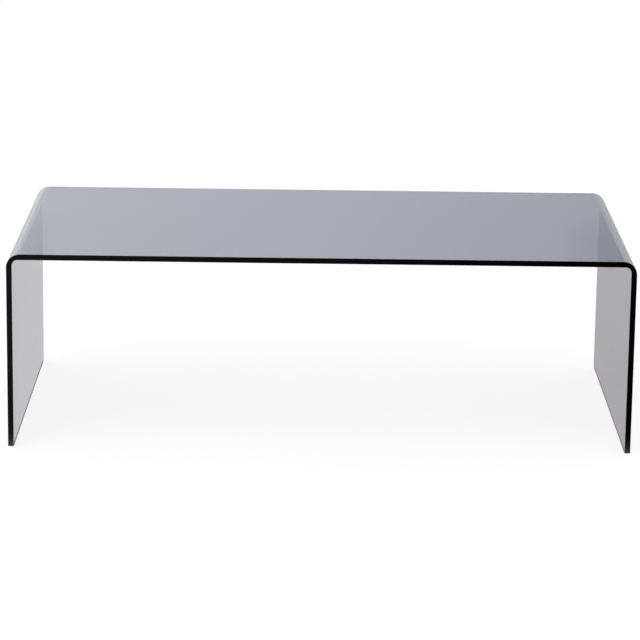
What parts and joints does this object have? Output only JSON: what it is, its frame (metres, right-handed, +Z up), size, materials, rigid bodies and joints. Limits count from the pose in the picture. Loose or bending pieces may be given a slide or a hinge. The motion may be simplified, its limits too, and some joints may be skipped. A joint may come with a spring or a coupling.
{
  "type": "waterfall coffee table",
  "caption": "Low bridge-shaped coffee table of smoked glass: top and both side panels are one hot-bent sheet with tight round bends, standing on clear foot pads.",
  "frame": {"origin": "on the floor, under the middle of the top", "axes": "+X along the width to the right, +Y to the rear, +Z up out of the top surface"},
  "size_m": [1.1, 0.6, 0.35],
  "materials": {
    "smoked_glass": "polished faces, polished edges with a small arris",
    "clear_pad": "clear moulded soft plastic, slightly frosted",
    "adhesive_film": "clear double-sided film"
  },
  "bodies": {
    "root": {"bent_glass_sheet": "smoked_glass", "front_left_foot_pad": "clear_pad", "front_right_foot_pad": "clear_pad", "rear_left_foot_pad": "clear_pad", "rear_right_foot_pad": "clear_pad", "front_left_pad_adhesive": "adhesive_film", "front_right_pad_adhesive": "adhesive_film", "rear_left_pad_adhesive": "adhesive_film", "rear_right_pad_adhesive": "adhesive_film"}
  },
  "joints": []
}
